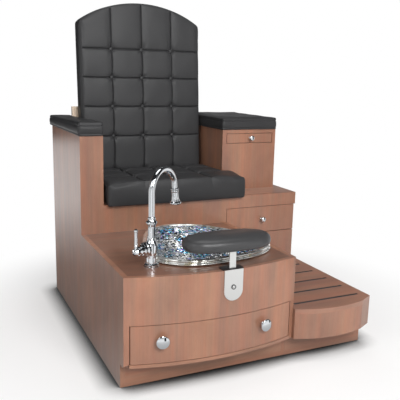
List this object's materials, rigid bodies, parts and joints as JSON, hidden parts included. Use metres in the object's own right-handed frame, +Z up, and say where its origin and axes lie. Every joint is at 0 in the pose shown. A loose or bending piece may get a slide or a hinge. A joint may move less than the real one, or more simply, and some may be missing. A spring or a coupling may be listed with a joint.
{
  "type": "pedicure spa chair",
  "caption": "Pedicure spa chair: laminate cabinet with bowed foot platform, lobed glass bowl, gooseneck faucet, lift-off footrest, side step, drawers and a tall tufted seat back",
  "frame": {"origin": "Middle of the bounding box's footprint, on the floor", "axes": "+Z up; -Y is the front, the way the sitter faces; +X is the side with the step and the right arm box"},
  "size_m": [1.014, 1.199, 1.3515],
  "materials": {
    "cherry_laminate": "satin wood-grain laminate, vertical grain",
    "light_board": "plain birch-coloured board",
    "charcoal_vinyl": "charcoal upholstery vinyl, fine grain, soft sheen",
    "polished_chrome": "mirror-polished chrome plate",
    "bright_steel": "bright nickel-plated steel",
    "zinc_steel": "zinc-plated steel",
    "black_rubber": "matte rubber",
    "black_plastic": "moulded black plastic",
    "mosaic_glass": "thick clear glass with iridescent mosaic flecks",
    "brass": "plain machined brass"
  },
  "bodies": {
    "cabinet": {"left_side_panel": "cherry_laminate", "divider_panel": "cherry_laminate", "right_side_panel": "cherry_laminate", "rear_panel": "cherry_laminate", "floor_panel": "cherry_laminate", "plinth_front": "cherry_laminate", "platform_top": "cherry_laminate", "front_fascia": "cherry_laminate", "seat_front_panel": "cherry_laminate", "side_lower_panel": "cherry_laminate", "seat_deck": "cherry_laminate", "left_arm_front": "cherry_laminate", "left_arm_inner_panel": "cherry_laminate", "right_arm_front": "cherry_laminate", "right_arm_inner_panel": "cherry_laminate", "right_arm_outer_panel": "cherry_laminate", "right_arm_top": "light_board", "backboard": "light_board", "step_top": "cherry_laminate", "step_fascia": "cherry_laminate", "step_side_panel": "cherry_laminate", "step_plinth": "cherry_laminate", "step_tread_strips": "black_rubber", "drawer_slides": "zinc_steel", "tray_guides": "zinc_steel", "bowl": "mosaic_glass", "bowl_gasket": "black_rubber", "drain_flange": "polished_chrome", "tailpiece": "polished_chrome", "faucet_flange": "polished_chrome", "faucet_body": "polished_chrome", "faucet_shank": "brass", "faucet_nut": "zinc_steel", "footrest_receiver": "black_plastic", "footrest_front_plate": "bright_steel", "front_plate_screw": "bright_steel", "seat_cushion": "charcoal_vinyl", "back_cushion": "charcoal_vinyl", "back_buttons": "charcoal_vinyl", "left_arm_cushion": "charcoal_vinyl", "right_arm_cushion": "charcoal_vinyl"},
    "front_drawer": {"front_drawer_face": "cherry_laminate", "front_drawer_box": "light_board", "front_drawer_knobs": "polished_chrome", "front_drawer_runners": "zinc_steel"},
    "side_drawer": {"side_drawer_face": "cherry_laminate", "side_drawer_box": "light_board", "side_drawer_knob": "polished_chrome", "side_drawer_runners": "zinc_steel"},
    "arm_tray": {"arm_tray_face": "cherry_laminate", "arm_tray_board": "light_board", "arm_tray_knob": "polished_chrome"},
    "footrest": {"footrest_strap": "bright_steel", "footrest_pad": "charcoal_vinyl"},
    "spout": {"faucet_spout": "polished_chrome"},
    "spray_head": {"spray_head": "polished_chrome"},
    "handle": {"handle_hub": "polished_chrome"},
    "lever": {"faucet_lever": "polished_chrome"},
    "stopper": {"drain_stopper": "polished_chrome"}
  },
  "joints": [
    {"name": "spout_swivel", "type": "hinge", "parent": "cabinet", "child": "spout", "pos_m": [-0.375, -0.4365, 0.549], "axis": [0, 0, 1], "range_deg": [-120, 120]},
    {"name": "spray_pull", "type": "slide", "parent": "spout", "child": "spray_head", "axis": [0.1126, 0.0818, -0.9903], "range_m": [0, 0.035]},
    {"name": "handle_turn", "type": "hinge", "parent": "cabinet", "child": "handle", "pos_m": [-0.375, -0.4365, 0.463], "axis": [-0.9063, -0.4226, 0], "range_deg": [-45, 45]},
    {"name": "lever_tilt", "type": "hinge", "parent": "handle", "child": "lever", "pos_m": [-0.44025, -0.46693, 0.463], "axis": [0.4226, -0.9063, 0], "range_deg": [0, 25]},
    {"name": "front_drawer_slide", "type": "slide", "parent": "cabinet", "child": "front_drawer", "axis": [0, -1, 0], "range_m": [0, 0.13]},
    {"name": "side_drawer_slide", "type": "slide", "parent": "cabinet", "child": "side_drawer", "axis": [0, -1, 0], "range_m": [0, 0.27]},
    {"name": "arm_tray_slide", "type": "slide", "parent": "cabinet", "child": "arm_tray", "axis": [0, -1, 0], "range_m": [0, 0.2]},
    {"name": "footrest_lift", "type": "slide", "parent": "cabinet", "child": "footrest", "axis": [0, 0, 1], "range_m": [0, 0.1]},
    {"name": "stopper_lift", "type": "slide", "parent": "cabinet", "child": "stopper", "axis": [0, 0, 1], "range_m": [0, 0.06]}
  ]
}
